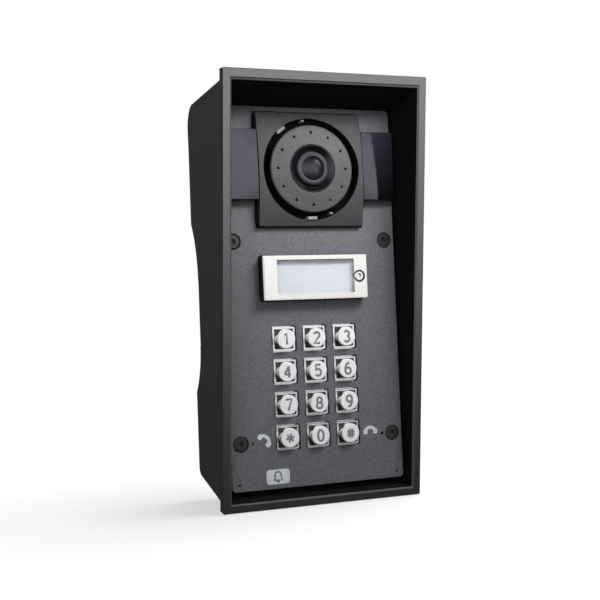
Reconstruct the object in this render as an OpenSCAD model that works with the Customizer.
// Wall-mounted door intercom panel: a hooded die-cast housing with a recessed front
// panel that carries a camera, a name-plate call button and a twelve-key keypad.
// X runs to the right, Y into the wall and Z up. The wall plane is Y = 0, and the
// origin is the centre of the four wall-screw holes.

/* [Housing] */
// Width of the hood rim, the widest part of the unit
rim_w = 109; // [108:0.5:112]
// Height of the hood rim, measured along its tilted front
rim_h = 218; // [216:0.5:221]
// Depth from the wall to the upper edge of the hood
hood_depth = 83; // [82:0.5:86]
// Tilt of the hood's front plane, in degrees
hood_tilt = 7.3; // [6.6:0.1:7.6]
// Thickness of the rim flange
rim_t = 5.4; // [4:0.2:6]
// Thickness of the side walls
side_wall = 2; // [1.8:0.1:2.3]
// Thickness of the back wall
back_wall = 3; // [2.6:0.1:3.6]
// How far the middle of the back stands off the wall
waist_depth = 11.8; // [9:0.1:12.5]

/* [Wall holes] */
// Distance between the wall screws across the unit
wall_hole_dx = 60; // [56:1:64]
// Distance between the wall screws up the unit
wall_hole_dz = 140; // [136:1:146]
// Diameter of the wall screw holes
wall_hole_d = 5.5; // [4.5:0.1:6]
// Bore of the rubber cable grommet
cable_bore_d = 7; // [5:0.5:9]

/* [Front panel] */
// Distance from the wall to the face of the front panel
panel_face = 50.4; // [50:0.1:50.8]
// Width of the front panel
panel_w = 95.4; // [95:0.1:96]
// Radius of the front panel's corners
panel_r = 2.3; // [1:0.1:3]

/* [Keypad] */
// Distance between neighbouring keys, both ways
key_pitch = 16.8; // [16.6:0.1:17]
// Side of the square key caps
key_side = 12.1; // [11.6:0.1:12.4]
// Diameter of the round key faces
key_disc_d = 10; // [8:0.1:10.2]
// Travel of the keys
key_travel = 1; // [0.5:0.1:1]

/* [Call button] */
// Width of the name-plate button
plate_w = 57.4; // [56:0.2:57.8]
// Height of the name-plate button
plate_h = 22.6; // [21.6:0.2:22.8]
// Travel of the name-plate button
plate_travel = 0.8; // [0.4:0.1:0.8]

/* [Camera] */
// Height of the camera above the wall-hole centre
camera_z = 64.3; // [64:0.1:64.8]
// Side of the camera bezel across the unit
bezel_w = 57.4; // [56:0.2:57.6]
// Diameter of the sound gap around the camera disc
gap_d = 52.8; // [50:0.2:53]
// Diameter of the camera disc
disc_d = 45.2; // [44:0.2:46]

/* [Hidden] */
$fn = 64;
cut = 1;                 // how far a cutting solid runs past a face
thread_fit = 0.05;       // radial clearance of a screw in its hole

// Hood rim: its plane leans forward at the top
rim_y = -hood_depth + rim_h / 2 * sin(hood_tilt);
rim_lip = 4.1;           // width of the rim's front face at the sides
lip_top = 4.6;           // the same at the top
rim_r = 1;               // radius of the rim's corners

// Outer body behind the rim
body_half = 52.2;        // half width where the body meets the rim plane
draft = 0.034;           // sideways draft per unit of depth
body_top = 105.3;
body_bottom = -94.2;     // at the wall; the floor slopes down towards the rim
floor_slope = 0.222;
top_r = 12;              // radius of the top back corner
foot_r = 3;              // radius of the bottom back corner
waist_top_r = 50;        // radii and centre heights of the two waist curves
waist_top_z = 9.6;
waist_low_r = 34;
waist_low_z = -24.5;
curve_steps = 10;

// Layers behind the panel face, as distances from the wall
panel_t = 3;
panel_back = panel_face - panel_t;
gasket_t = 1.2;
gasket_w = 1.8;
ledge = panel_back - gasket_t;
ledge_t = 3;
panel_top = 97;
panel_bottom = -98.6;
panel_h = panel_top - panel_bottom;
panel_z = (panel_top + panel_bottom) / 2;
ledge_half = 45.3;

// Panel screws
screw_x = 42.2;
screw_z = [27.6, -74.8];
screw_head_d = 8;
screw_head_t = 1.6;
screw_d = 4;
post_r = 3.4;
post_rib = 8;            // web from a post out to the side wall
small_hole_d = 1.6;
mic_hole_x = 36.2;
mic_hole_z = -74.8;
drain_hole_x = 44;
drain_hole_z = -95.2;

// Keypad
key_rows_z = [for (row = [0:3]) -22.7 - row * key_pitch];
key_gap = 0.65;          // from cap to panel cut-out
key_frame_face = panel_face - 0.6;
key_disc_face = panel_face + 3.2;
key_bar = 0.9;           // width of the raised bars round a key
key_floor = 0.9;         // depth of the recess inside the bars
key_flange = 14.4;
key_flange_face = panel_back - 0.2;
key_flange_t = 1.1;
key_stem_back = 44.4;
guide_window = 15.2;

// Guide frame, mat and keypad board
guide_w = 66;
guide_top = 26.4;
guide_bottom = -88;
guide_h = guide_top - guide_bottom;
guide_z = (guide_top + guide_bottom) / 2;
guide_web = 44.4;        // back of the guide's windowed web
board_face = 41.4;
board_t = 1.6;
pocket_w = 58;
mat_top = -12;
mat_bottom = -84.5;
mat_t = 1;
dome_h = 0.8;
guide_screw_x = 31;
guide_screw_z = [guide_top - 2.6, guide_bottom + 2.6];

// Name-plate button
plate_z = 8.5;
plate_face = panel_face + 6.2;
plate_t = 1.6;
plate_gap = 0.5;
plate_back = panel_back - 0.3;
plate_flange = 1.2;      // how far the base's flange stands out behind the panel
plate_flange_t = 1.1;
opening_w = 42.6;        // opening in the metal frame
opening_h = 17.5;
opening_z = 8.85;
name_screw_x = 24.2;
name_recess_d = 6.4;
name_head_d = 5.3;
button_stem_back = 44.6;

// Camera
bezel_h = 58.4;
bezel_crown = 56.6;      // distance of the bezel's crown from the wall
bezel_curve_r = 140;
bezel_gap = 1;
bezel_plate_t = 2.4;
turret_r = 12.5;
turret_back = 47.6;
baffle_face = 50.4;
baffle_t = 1.8;
baffle_r = 27.6;
disc_hole_d = 1.4;
disc_hole_ring_r = 18.7;
disc_hole_count = 12;
bezel_screw_x = 25.4;
bezel_screw_z = 25.9;
bracket_t = 1.2;

// Infrared windows
ir_inner = 29;
ir_outer = 47.6;
ir_bottom = 48.4;
ir_top = 84.5;
ir_z = (ir_top + ir_bottom) / 2;
ir_wall = 1.2;
collar_inner = 31;
collar_outer = 44.8;
collar_h = 32.4;
collar_back = 46.4;

// Electronics
main_face = 27;
main_t = 1.6;
main_w = 76;
main_top = 26;
main_bottom = -88;
main_screw_x = 34;
main_screw_z = [20, -84];
speaker_face = 30;

// ---- Helpers -------------------------------------------------------------

// A slab drawn in X and Z, from distance d0 to distance d1 off the wall
module from_wall(d0, d1) {
  translate([0, -d0, 0]) rotate([90, 0, 0]) linear_extrude(d1 - d0) children();
}

// A profile of radius and distance off the wall, turned about a line along Y
module turned(x = 0, z = 0) {
  translate([x, 0, z]) rotate([90, 0, 0]) rotate_extrude() children();
}

// A round bar along Y
module bar(x, z, d0, d1, r) {
  translate([x, -d0, z]) rotate([90, 0, 0]) cylinder(r = r, h = d1 - d0);
}

module rounded_rect(w, h, r) {
  square([w, h - 2 * r], center = true);
  square([w - 2 * r, h], center = true);
  for (x = [-1, 1], y = [-1, 1])
    translate([x * (w / 2 - r), y * (h / 2 - r)]) circle(r = r, $fn = 48);
}

module at(x, z) { translate([x, z]) children(); }

module four_corners(x, z) {
  for (sx = [-1, 1], sz = z) translate([sx * x, sz]) children();
}

function arc(c, r, a0, a1) =
  [for (i = [0:curve_steps]) let (a = a0 + (a1 - a0) * i / curve_steps)
    [c[0] + r * cos(a), c[1] + r * sin(a)]];

// Angle at which a waist curve, inset by t, meets the back face
function waist_angle(r, t) = acos((r - waist_depth + t) / (r + t));

// Side view of the body in Y and Z, inset by t; its front is left long
function side_profile(t, top_t) = concat(
  [[-hood_depth - 20, body_top - top_t]],
  arc([-top_r, body_top - top_r], top_r - top_t, 90, 0),
  arc([waist_top_r - waist_depth, waist_top_z], waist_top_r + t,
      180 - waist_angle(waist_top_r, t), 180),
  arc([waist_low_r - waist_depth, waist_low_z], waist_low_r + t,
      180, 180 + waist_angle(waist_low_r, t)),
  [[-t, body_bottom + t + foot_r], [-t - foot_r, body_bottom + t - floor_slope * foot_r]],
  [[-hood_depth - 20, body_bottom + t - floor_slope * (hood_depth + 20)]]);

module side_block(t, top_t) {
  translate([-rim_w, 0, 0]) rotate([90, 0, 90]) linear_extrude(2 * rim_w)
    polygon(side_profile(t, top_t));
}

module in_rim_frame() { translate([0, rim_y, 0]) rotate([hood_tilt, 0, 0]) children(); }

// Tapered prism behind the rim plane: half width w at the plane, shrinking with depth
module draft_block(w, front = 0) {
  run = 130;
  in_rim_frame() translate([0, 0, -rim_h]) linear_extrude(2 * rim_h)
    polygon([[-w, -front], [w, -front], [w - draft * run, run], [-w + draft * run, run]]);
}

module body_block(t, top_t, front = 0) {
  intersection() {
    side_block(t, top_t);
    draft_block(body_half - (t > 0 ? side_wall : 0), front);
  }
}

// ---- Housing -------------------------------------------------------------

module rim_opening() {
  opening_w = rim_w - 2 * rim_lip;
  low = -rim_h / 2 + rim_lip;
  high = rim_h / 2 - lip_top;
  in_rim_frame() translate([-opening_w / 2, -cut, low])
    cube([opening_w, cut + 0.8, high - low]);
}

// Space under the recess ceiling, which falls from the rim to the top of the panel
module below_ceiling(front) {
  back = panel_top + 0.4;
  slope = (front - back) / (hood_depth - panel_face);
  run = 40;
  translate([-rim_w, 0, 0]) rotate([90, 0, 90]) linear_extrude(2 * rim_w)
    polygon([[0, -rim_h], [0, back], [-panel_face, back], [-hood_depth, front],
             [-hood_depth - run, front + slope * run], [-hood_depth - run, -rim_h]]);
}

module housing_cavity() {
  inset = 2.3;
  // recess in front of the ledge
  intersection() {
    body_block(inset, inset, cut);
    from_wall(ledge, 2 * hood_depth) square([2 * rim_w, 2 * rim_h], center = true);
    below_ceiling(body_top - inset);
  }
  // window through the ledge
  from_wall(ledge - ledge_t - cut, ledge + cut)
    at(0, panel_z) square([2 * ledge_half, panel_h - 7], center = true);
  // electronics space
  intersection() {
    body_block(back_wall, inset);
    from_wall(0, ledge - ledge_t) square([2 * rim_w, 2 * rim_h], center = true);
  }
}

module housing() {
  color([0.16, 0.16, 0.17]) difference() {
    union() {
      difference() {
        union() {
          body_block(0, 0);
          in_rim_frame() translate([0, rim_t, 0]) rotate([90, 0, 0])
            linear_extrude(rim_t) rounded_rect(rim_w, rim_h, rim_r);
        }
        housing_cavity();
        rim_opening();
      }
      // screw posts and board standoffs, kept inside the body
      intersection() {
        body_block(0, 0);
        union() {
          from_wall(0, ledge) {
            four_corners(screw_x, screw_z) circle(r = post_r);
            four_corners(screw_x + post_rib / 2, screw_z)
              square([post_rib, 2], center = true);
          }
          from_wall(0, main_face - main_t) four_corners(main_screw_x, main_screw_z)
            circle(r = 3);
        }
      }
    }
    from_wall(ledge - 14, ledge + cut) four_corners(screw_x, screw_z)
      circle(d = screw_d - 0.7);
    from_wall(main_face - main_t - 8, main_face) four_corners(main_screw_x, main_screw_z)
      circle(d = 2.5);
    from_wall(-cut, back_wall + cut)
      four_corners(wall_hole_dx / 2, [-wall_hole_dz / 2, wall_hole_dz / 2])
        circle(d = wall_hole_d);
    bar(0, grommet_z, waist_depth - cut, waist_depth + back_wall + cut, grommet_r);
  }
}

grommet_z = -8;
grommet_r = 9;
module cable_grommet() {
  lip = 1.7;
  bore_r = cable_bore_d / 2;
  inside = waist_depth + back_wall;
  color([0.08, 0.08, 0.08]) turned(0, grommet_z)
    polygon([[bore_r, waist_depth - lip], [grommet_r + 2, waist_depth - lip],
             [grommet_r + 2, waist_depth], [grommet_r, waist_depth],
             [grommet_r, inside], [grommet_r + 2, inside],
             [grommet_r + 2, inside + lip], [bore_r, inside + lip]]);
}

// ---- Front panel ---------------------------------------------------------

module panel_gasket() {
  w = panel_w - 0.6;
  h = panel_h - 0.6;
  color([0.1, 0.1, 0.1]) from_wall(ledge, panel_back) at(0, panel_z) difference() {
    rounded_rect(w, h, 2);
    rounded_rect(w - 2 * gasket_w, h - 2 * gasket_w, 1);
  }
}

module key_places() {
  for (column = [-1:1], z = key_rows_z) translate([column * key_pitch, z]) children();
}

module front_panel() {
  cutout = key_side + 2 * key_gap;
  color([0.33, 0.33, 0.35]) difference() {
    union() {
      from_wall(panel_back, panel_face)
        at(0, panel_z) rounded_rect(panel_w, panel_h, panel_r);
      // post that holds the tamper plunger down
      bar(tamper_x, tamper_z, tamper_tip + 0.3, panel_back + cut, 1.6);
    }
    from_wall(panel_back - cut, panel_face + cut) {
      key_places() rounded_rect(cutout, cutout, 1);
      at(0, plate_z)
        rounded_rect(plate_w + 2 * plate_gap, plate_h + 2 * plate_gap, 1.2);
      at(0, camera_z)
        rounded_rect(bezel_w + 2 * bezel_gap + 0.2, bezel_h + 2 * bezel_gap, 0.8);
      for (side = [-1, 1])
        at(side * (collar_inner + collar_outer) / 2, ir_z)
          square([collar_outer - collar_inner + 0.4, collar_h + 0.4], center = true);
    }
    from_wall(panel_back - cut, panel_face + cut) {
      four_corners(screw_x, screw_z) circle(d = screw_d + 0.4);
      four_corners(mic_hole_x, [mic_hole_z]) circle(d = small_hole_d);
    }
    from_wall(panel_back - cut, panel_back + 2) guide_holes(2.6);
    from_wall(panel_face - 2, panel_face + cut)
      four_corners(drain_hole_x, [drain_hole_z]) circle(d = small_hole_d);
    from_wall(panel_face - screw_head_t - 0.4, panel_face + cut)
      four_corners(screw_x, screw_z) circle(d = screw_head_d + 0.4);
  }
}

module panel_screws() {
  head_face = panel_face - 0.3;
  color([0.12, 0.12, 0.13]) for (x = [-1, 1], z = screw_z) difference() {
    turned(x * screw_x, z)
      polygon([[0, ledge - 12], [screw_d / 2 - 0.4, ledge - 12],
               [screw_d / 2 - 0.4, head_face - screw_head_t],
               [screw_head_d / 2, head_face - screw_head_t],
               [screw_head_d / 2, head_face - 0.5], [screw_head_d / 2 - 0.5, head_face],
               [0, head_face]]);
    bar(x * screw_x, z, head_face - 1.3, head_face + cut, 1.25);
  }
}

// A handset seen from the side: a bowed grip with an ear and a mouth piece
module handset(span) {
  r = span / 2;
  difference() {
    at(0, -r / 4) circle(r = r);
    at(0, -r / 4) circle(r = r * 0.6);
    at(0, -r) square([3 * r, 1.9 * r], center = true);
  }
  for (side = [-1, 1]) at(side * r * 0.7, 0) rounded_rect(r * 0.58, r * 0.64, r * 0.16);
}

mark_t = 0.12;
module answer_mark() {
  color([0.65, 0.67, 0.68]) from_wall(panel_face, panel_face + mark_t)
    at(-29.9, -73.8) rotate(-42) handset(8.4);
}

module hangup_mark() {
  color([0.65, 0.67, 0.68]) from_wall(panel_face, panel_face + mark_t)
    at(29.4, -73.4) handset(8);
}

module badge() {
  color([0.65, 0.69, 0.7]) from_wall(panel_face, panel_face + mark_t)
    at(-23.1, -92.5) rounded_rect(12.6, 7.5, 1.7);
}

module microphones() {
  color([0.7, 0.7, 0.72]) for (side = [-1, 1]) translate([side * mic_hole_x, 0, 0]) difference() {
    bar(0, mic_hole_z, panel_back - 1.5, panel_back, 2);
    bar(0, mic_hole_z, panel_back - 0.6, panel_back + cut, small_hole_d / 2);
  }
}

// ---- Keypad --------------------------------------------------------------

module key_cap(column, row) {
  z = key_rows_z[row];
  x = (column - 1) * key_pitch;
  inner = key_side - 2 * key_bar;
  color([0.85, 0.85, 0.86]) {
    difference() {
      from_wall(key_flange_face - key_flange_t, key_frame_face)
        at(x, z) rounded_rect(key_side, key_side, 0.6);
      from_wall(key_frame_face - key_floor, key_frame_face + cut)
        at(x, z) rounded_rect(inner, inner, 0.4);
    }
    from_wall(key_flange_face - key_flange_t, key_flange_face)
      at(x, z) rounded_rect(key_flange, key_flange, 1);
    turned(x, z) polygon([[0, key_stem_back], [3, key_stem_back],
      [3, key_flange_face - 0.5], [key_disc_d / 2, key_flange_face - 0.5],
      [key_disc_d / 2, key_disc_face - 0.35], [key_disc_d / 2 - 0.35, key_disc_face],
      [0, key_disc_face]]);
  }
}

module key_1() { key_cap(0, 0); }
module key_2() { key_cap(1, 0); }
module key_3() { key_cap(2, 0); }
module key_4() { key_cap(0, 1); }
module key_5() { key_cap(1, 1); }
module key_6() { key_cap(2, 1); }
module key_7() { key_cap(0, 2); }
module key_8() { key_cap(1, 2); }
module key_9() { key_cap(2, 2); }
module key_star() { key_cap(0, 3); }
module key_0() { key_cap(1, 3); }
module key_hash() { key_cap(2, 3); }

module button_window(extra) {
  at(0, plate_z) rounded_rect(plate_w + 2 * plate_flange + extra,
                              plate_h + 2 * plate_flange + extra, 1);
}

module guide_holes(d) { four_corners(guide_screw_x, guide_screw_z) circle(d = d); }

module key_guide() {
  color([0.14, 0.14, 0.15]) difference() {
    from_wall(board_face, panel_back)
      at(0, guide_z) rounded_rect(guide_w, guide_h, 2);
    from_wall(guide_web - cut, panel_back + cut) {
      key_places() rounded_rect(guide_window, guide_window, 0.8);
      button_window(0.8);
    }
    // pocket for the mat, and one for the button's seal and switch
    from_wall(board_face - cut, guide_web) {
      at(0, (mat_top + mat_bottom) / 2) square([pocket_w, mat_top - mat_bottom], center = true);
      button_window(1.6);
    }
    from_wall(board_face - cut, panel_back + cut) guide_holes(2.8);
  }
}

module keypad_mat() {
  w = pocket_w - 0.6;
  h = mat_top - mat_bottom - 0.6;
  color([0.2, 0.2, 0.22]) {
    from_wall(board_face, board_face + mat_t)
      at(0, (mat_top + mat_bottom) / 2) square([w, h], center = true);
    from_wall(board_face + mat_t, board_face + mat_t + dome_h)
      key_places() circle(r = 4.2);
  }
}

module keypad_board() {
  color([0.1, 0.3, 0.18]) from_wall(board_face - board_t, board_face) difference() {
    at(0, guide_z) rounded_rect(guide_w, guide_h, 2);
    guide_holes(2.8);
  }
}

module keypad_screws() {
  back = board_face - board_t;
  color([0.6, 0.6, 0.62]) for (x = [-1, 1], z = guide_screw_z)
    turned(x * guide_screw_x, z)
      polygon([[0, back - 1.6], [1.9, back - 1.6], [2.2, back - 1.2], [2.2, back],
               [1.25, back], [1.25, panel_back + 1.6], [0, panel_back + 1.6]]);
}

// ---- Name-plate call button ----------------------------------------------

module call_button_base() {
  face = plate_face - plate_t;
  cavity_w = 40;
  color([0.05, 0.05, 0.05]) {
    difference() {
      union() {
        from_wall(plate_back - plate_flange_t, face)
          at(0, plate_z) rounded_rect(plate_w, plate_h, 0.6);
        from_wall(plate_back - plate_flange_t, plate_back) button_window(0);
      }
      // pocket for the window and the name label
      from_wall(face - 1.6, face + cut)
        at(0, opening_z) square([opening_w + 1.2, opening_h + 1.2], center = true);
      from_wall(plate_back - plate_flange_t - cut, face - 3.4)
        at(0, plate_z) square([cavity_w, plate_h - 3.6], center = true);
      bar(name_screw_x, plate_z, face - 5, face + cut, 1.25 + thread_fit);
    }
    bar(0, plate_z, button_stem_back, face - 3, 3);
  }
}

module call_button_frame() {
  back = plate_face - plate_t;
  bevel = 0.5;
  color([0.78, 0.77, 0.74]) difference() {
    union() {
      from_wall(back, plate_face - bevel)
        at(0, plate_z) rounded_rect(plate_w, plate_h, 0.6);
      from_wall(plate_face - bevel, plate_face)
        at(0, plate_z) rounded_rect(plate_w - 2 * bevel, plate_h - 2 * bevel, 0.4);
    }
    from_wall(back - cut, plate_face + cut)
      at(0, opening_z) rounded_rect(opening_w, opening_h, 0.6);
    bar(name_screw_x, plate_z, back - cut, plate_face + cut, name_recess_d / 2);
  }
}

module name_window() {
  back = plate_face - plate_t;
  color([0.9, 0.95, 1, 0.35]) {
    from_wall(back - 1, back)
      at(0, opening_z) square([opening_w + 1, opening_h + 1], center = true);
    from_wall(back, plate_face - 0.35)
      at(0, opening_z) rounded_rect(opening_w - 0.8, opening_h - 0.8, 0.5);
  }
}

module name_label() {
  back = plate_face - plate_t;
  color([0.92, 0.94, 1]) from_wall(back - 1.6, back - 1)
    at(0, opening_z) square([opening_w + 0.9, opening_h + 0.9], center = true);
}

module name_screw() {
  head_back = plate_face - plate_t;
  head_face = plate_face - 0.15;
  color([0.7, 0.7, 0.68]) difference() {
    turned(name_screw_x, plate_z)
      polygon([[0, head_back - 4.4], [1.25, head_back - 4.4], [1.25, head_back],
               [name_head_d / 2, head_back], [name_head_d / 2, head_face - 0.4],
               [name_head_d / 2 - 0.4, head_face], [0, head_face]]);
    bar(name_screw_x, plate_z, head_face - 1.1, head_face + cut, 1.1);
  }
}

module call_button_seal() {
  color([0.15, 0.15, 0.15]) from_wall(guide_web - 1.4, guide_web) difference() {
    button_window(1.2);
    at(0, plate_z) rounded_rect(plate_w - 2, plate_h - 2, 1);
  }
}

module call_switch() {
  color([0.12, 0.12, 0.12]) {
    from_wall(board_face, board_face + 1.8) at(0, plate_z) rounded_rect(12, 12, 0.5);
    bar(0, plate_z, board_face + 1.8, board_face + 2.2, 3);
  }
}

// ---- Camera --------------------------------------------------------------

// Everything behind a front that bows about a level axis
module bowed(w, h, crown, r) {
  intersection() {
    children();
    translate([-w / 2, r - crown, camera_z]) rotate([0, 90, 0])
      cylinder(r = r, h = w, $fn = 180);
  }
}

module camera_bezel() {
  color([0.36, 0.36, 0.38]) difference() {
    bowed(2 * bezel_w, bezel_h, bezel_crown, bezel_curve_r)
      from_wall(panel_back, bezel_crown + 1)
        at(0, camera_z) rounded_rect(bezel_w, bezel_h, 0.8);
    bar(0, camera_z, panel_back - cut, bezel_crown + cut, gap_d / 2);
    bar(0, camera_z, panel_back - cut, bezel_crown - bezel_plate_t - 1.2, baffle_r + 0.1);
    from_wall(panel_back - cut, panel_back + 5)
      at(0, camera_z) four_corners(bezel_screw_x, [-bezel_screw_z, bezel_screw_z])
        circle(d = 2);
  }
}

module camera_disc() {
  edge_face = 56.6;
  inner_face = 57.9;
  r = disc_d / 2;
  color([0.4, 0.4, 0.42]) difference() {
    turned(0, camera_z)
      polygon([[turret_r + 0.05, edge_face - 2], [r - 0.6, edge_face - 2], [r, edge_face - 1.4],
               [r, edge_face - 0.5], [r - 0.5, edge_face], [turret_r + 1, inner_face],
               [turret_r + 0.05, inner_face]]);
    for (i = [0:disc_hole_count - 1]) rotate_about_camera(i * 360 / disc_hole_count)
      bar(0, disc_hole_ring_r, edge_face - 2 - cut, inner_face + cut, disc_hole_d / 2);
  }
}

module rotate_about_camera(a) {
  translate([0, 0, camera_z]) rotate([0, a, 0]) children();
}

module baffle_ring() {
  slot_in = 14;
  slot_out = 20;
  color([0.04, 0.04, 0.04]) difference() {
    turned(0, camera_z)
      polygon([[turret_r + 0.05, baffle_face - baffle_t], [baffle_r, baffle_face - baffle_t],
               [baffle_r, baffle_face], [disc_d / 2 - 1, baffle_face],
               [disc_d / 2 - 1, 54.6], [turret_r + 0.05, 54.6]]);
    // sound slots between four spokes
    difference() {
      turned(0, camera_z)
        polygon([[slot_in, baffle_face - baffle_t - cut], [slot_out - 1.4, baffle_face - baffle_t - cut],
                 [slot_out - 1.4, 55.6], [slot_in, 55.6]]);
      for (a = [45, 135]) rotate_about_camera(a)
        translate([-slot_out, -60, -2]) cube([2 * slot_out, 20, 4]);
    }
  }
}

module bezel_clips() {
  r = gap_d / 2;
  color([0.75, 0.76, 0.72]) {
    // angles are counted clockwise from the top
    for (a = [-38, 180]) rotate_about_camera(a)
      translate([-2.6, -55, r - 1.9]) cube([5.2, 55 - baffle_face, 1.6]);
    for (a = [-8, 155]) rotate_about_camera(a) bar(0, r - 1.3, baffle_face, 55, 0.65);
  }
}

module lens_hood() {
  lip = 58.2;
  bore = 8.85;
  color([0.08, 0.08, 0.1]) turned(0, camera_z)
    polygon([[bore, turret_back], [turret_r, turret_back], [turret_r, lip - 0.3],
             [turret_r - 0.3, lip], [turret_r - 0.7, lip], [bore, lip - 1.6]]);
}

module lens_ring() {
  color([0.45, 0.43, 0.5]) turned(0, camera_z)
    polygon([[6.1, 54.4], [8.75, 54.4], [8.75, 57.3], [8.3, 58], [7.3, 58.4], [6.4, 58.2],
             [6.1, 57.8]]);
}

// A thin meniscus: front and back are arcs about points on the axis
module lens_glass() {
  edge = 6;
  sag = 1.5;
  r = (edge * edge + sag * sag) / (2 * sag);
  half = asin(edge / r);
  color([0.2, 0.18, 0.28, 0.6]) turned(0, camera_z)
    polygon(concat([[0, 55.4], [edge, 55.4]],
                   [for (i = [0:curve_steps]) let (a = half * (1 - i / curve_steps))
                     [r * sin(a), 58.9 - r + r * cos(a)]]));
}

module lens_barrel() {
  color([0.1, 0.1, 0.1]) turned(0, camera_z)
    polygon([[6.3, 36], [8, 36], [8, 39], [7, 39.5], [7, 47.2], [8.5, 47.2], [8.5, 54.3],
             [5.2, 54.3], [3.4, 50], [3.4, 38.4], [6.3, 38.4]]);
}

module camera_board() {
  color([0.1, 0.28, 0.2]) from_wall(34.4, 36)
    at(0, camera_z) rounded_rect(30, 30, 1.5);
}

module image_sensor() {
  color([0.15, 0.15, 0.2]) from_wall(36, 37.2)
    at(0, camera_z) rounded_rect(9, 8, 0.2);
}

module camera_bracket() {
  tube_r = 27.6;
  tube_wall = 1.4;
  half_w = 30.6;
  low = 33.6;
  high = 94.6;
  color([0.13, 0.13, 0.14]) difference() {
    union() {
      from_wall(panel_back - bracket_t, panel_back)
        at(0, (low + high) / 2) rounded_rect(2 * half_w, high - low, 1);
      bar(0, camera_z, speaker_face, panel_back - 0.5, tube_r);
    }
    difference() {
      bar(0, camera_z, speaker_face - cut, panel_back + cut, tube_r - tube_wall);
      // cross bar that carries the camera board
      from_wall(31.5, 34.4) at(0, camera_z) square([2 * tube_r, 14], center = true);
    }
    from_wall(panel_back - bracket_t - cut, panel_back + cut)
      at(0, camera_z) four_corners(bezel_screw_x, [-bezel_screw_z, bezel_screw_z])
        circle(d = 2.6);
  }
}

module camera_screws() {
  back = panel_back - bracket_t;
  color([0.6, 0.6, 0.62])
    for (x = [-1, 1], z = [-1, 1])
      turned(x * bezel_screw_x, camera_z + z * bezel_screw_z)
        polygon([[0, back - 1.4], [1.7, back - 1.4], [2, back - 1], [2, back], [0.95, back],
                 [0.95, panel_back + 4.4], [0, panel_back + 4.4]]);
}

// Smoked cap on the panel's face: its front leans outwards and bows up and down
module ir_window() {
  lean = 1.7;
  inner_face = 56.3;
  module shell(t) {
    translate([0, 0, ir_bottom + t]) linear_extrude(ir_top - ir_bottom - 2 * t)
      polygon([[ir_inner + t, -panel_face + (t > 0 ? cut : 0)], [ir_inner + t, t - inner_face],
               [(ir_inner + ir_outer) / 2, t - inner_face + 0.25 * lean],
               [ir_outer - 1.2, t - inner_face + 0.8 * lean],
               [ir_outer - t, t - inner_face + lean], [ir_outer - t, -panel_face + (t > 0 ? cut : 0)]]);
  }
  difference() {
    union() {
      bowed(4 * ir_outer, 0, bezel_crown - 0.1, bezel_curve_r) shell(0);
      from_wall(collar_back, panel_face + 0.5)
        at((collar_inner + collar_outer) / 2, ir_z)
          square([collar_outer - collar_inner, collar_h], center = true);
    }
    intersection() {
      bowed(4 * ir_outer, 0, bezel_crown - 1.3, bezel_curve_r) shell(ir_wall);
      from_wall(panel_face + ir_wall, 2 * panel_face) square(4 * ir_top, center = true);
    }
    from_wall(collar_back - cut, panel_face + ir_wall + 0.5)
      at((collar_inner + collar_outer) / 2, ir_z)
        square([collar_outer - collar_inner - 2 * ir_wall, collar_h - 2 * ir_wall], center = true);
  }
}

module ir_window_right() { color([0.2, 0.17, 0.26]) ir_window(); }
module ir_window_left() { color([0.2, 0.17, 0.26]) mirror([1, 0, 0]) ir_window(); }

ir_board_face = 49;
module ir_board() {
  from_wall(ir_board_face - 1.2, ir_board_face) at((collar_inner + collar_outer) / 2, ir_z)
    square([collar_outer - collar_inner - 2 * ir_wall - 0.2, collar_h - 2 * ir_wall - 0.2],
           center = true);
}

module ir_board_right() { color([0.1, 0.28, 0.2]) ir_board(); }
module ir_board_left() { color([0.1, 0.28, 0.2]) mirror([1, 0, 0]) ir_board(); }

module ir_leds() {
  dx = 5.4;
  dz = 9;
  centre = (collar_inner + collar_outer) / 2;
  color([0.3, 0.28, 0.4]) for (side = [-1, 1], column = [-0.5, 0.5], row = [-1:1])
    turned(side * centre + column * dx, ir_z + row * dz)
      polygon([[0, ir_board_face], [1.7, ir_board_face], [1.7, ir_board_face + 0.8],
               [1.5, ir_board_face + 0.8], [1.5, ir_board_face + 2], [1, ir_board_face + 3],
               [0, ir_board_face + 3.3]]);
}

// ---- Electronics ---------------------------------------------------------

module main_board() {
  color([0.1, 0.32, 0.2]) from_wall(main_face - main_t, main_face) difference() {
    at(0, (main_top + main_bottom) / 2) rounded_rect(main_w, main_top - main_bottom, 2);
    four_corners(main_screw_x, main_screw_z) circle(d = 2.9);
    // screwdriver access to the lower wall screws
    four_corners(wall_hole_dx / 2, [-wall_hole_dz / 2]) circle(d = 10);
  }
}

module board_screws() {
  color([0.6, 0.6, 0.62]) for (x = [-1, 1], z = main_screw_z)
    turned(x * main_screw_x, z)
      polygon([[0, main_face + 1.8], [1.8, main_face + 1.8], [2.4, main_face + 1.2],
               [2.4, main_face], [1.2, main_face], [1.2, main_face - main_t - 6],
               [0, main_face - main_t - 6]]);
}

// Each chip is [x, z, width, height, thickness]
chips = [[0, 0, 15, 15, 1.5], [-18, 4, 10, 12, 1.2], [16, 6, 9, 9, 1.2],
         [-20, -18, 7, 7, 3], [-9, -22, 6, 8, 1.4], [20, -14, 8, 6, 1.4]];
module board_chips() {
  color([0.06, 0.06, 0.06]) {
    for (c = chips) from_wall(main_face, main_face + c[4]) at(c[0], c[1])
      square([c[2], c[3]], center = true);
    for (x = [8, 14.5]) bar(x, -28, main_face, main_face + 8, 2.8);
  }
}

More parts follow.
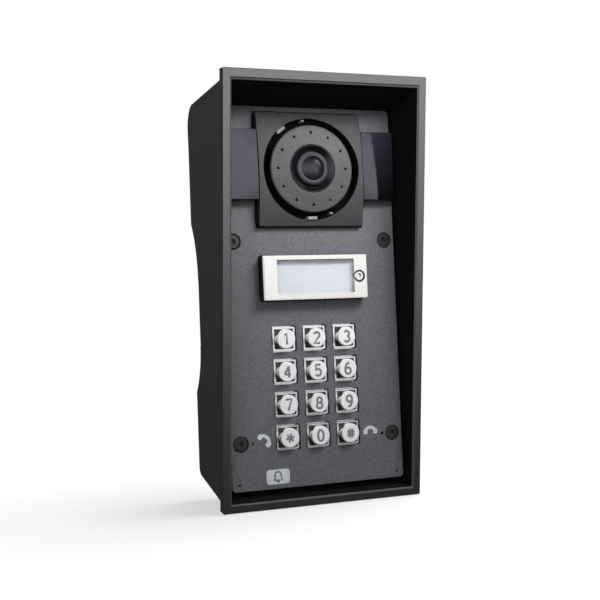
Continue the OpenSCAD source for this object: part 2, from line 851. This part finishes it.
module terminal_blocks() {
  pitch = 5;
  block_h = 8;
  color([0.1, 0.45, 0.25]) for (block = [[-12, 4], [11, 3]]) difference() {
    w = pitch * block[1];
    from_wall(main_face, main_face + 9) at(block[0], -78) square([w, block_h], center = true);
    for (i = [0:block[1] - 1]) translate([block[0] - w / 2 + (i + 0.5) * pitch, 0, 0]) {
      bar(0, -77, main_face + 5, main_face + 9 + cut, 1.6);
      translate([-1.8, -main_face - 5, -78 - block_h / 2 - cut]) cube([3.6, 3, 3 + cut]);
    }
  }
}

module network_socket() {
  color([0.7, 0.7, 0.72]) difference() {
    from_wall(main_face, main_face + 11.4) at(12, -52) square([16, 16], center = true);
    translate([12 - 6, -main_face - 9.6, -60 - cut]) cube([12, 7.6, 12 + cut]);
  }
}

module relay() {
  color([0.1, 0.2, 0.5]) from_wall(main_face, main_face + 10.2)
    at(-14, -54) rounded_rect(15.4, 19, 0.8);
}

module speaker_frame() {
  color([0.2, 0.2, 0.21]) turned(0, camera_z)
    polygon([[12.5, 18], [13.5, 17.2], [24, 25.4], [27.4, 27.4], [27.4, speaker_face],
             [24.6, speaker_face], [24.6, 28.6], [22.6, 26.6]]);
}

module speaker_cone() {
  color([0.1, 0.1, 0.1]) turned(0, camera_z)
    polygon([[0, 22.6], [6, 20.6], [7, 20.6], [18.5, 28.2], [20, 29.2], [22, 28.7], [24.5, 28.7],
             [24.5, 29.3], [22, 29.4], [20, 29.9], [18.2, 28.9], [6.6, 21.6], [0, 23.6]]);
}

module speaker_magnet() {
  color([0.25, 0.25, 0.26]) bar(0, camera_z, 9.5, 17.2, 13);
}

tamper_x = -36;
tamper_z = 0;
tamper_tip = 34.9;
tamper_body = 32.5;
module tamper_switch() {
  color([0.1, 0.1, 0.1]) difference() {
    from_wall(main_face, tamper_body) at(tamper_x, tamper_z) square([3.8, 7], center = true);
    bar(tamper_x, tamper_z, main_face + 1, tamper_body + cut, 1.05);
  }
}

module tamper_plunger() {
  color([0.8, 0.1, 0.1]) bar(tamper_x, tamper_z, main_face + 2.5, tamper_tip, 1);
}

// ---- Sub-parts -----------------------------------------------------------

housing();
panel_gasket();
front_panel();
panel_screws();
camera_bezel();
ir_window_left();
ir_window_right();
camera_disc();
baffle_ring();
bezel_clips();
lens_hood();
lens_ring();
lens_glass();
lens_barrel();
camera_board();
image_sensor();
camera_bracket();
camera_screws();
ir_board_left();
ir_board_right();
ir_leds();
call_button_base();
call_button_frame();
name_window();
name_label();
name_screw();
call_button_seal();
call_switch();
key_1();
key_2();
key_3();
key_4();
key_5();
key_6();
key_7();
key_8();
key_9();
key_star();
key_0();
key_hash();
key_guide();
keypad_mat();
keypad_board();
keypad_screws();
answer_mark();
hangup_mark();
badge();
main_board();
board_chips();
terminal_blocks();
network_socket();
relay();
speaker_frame();
speaker_cone();
speaker_magnet();
microphones();
tamper_switch();
tamper_plunger();
board_screws();
cable_grommet();
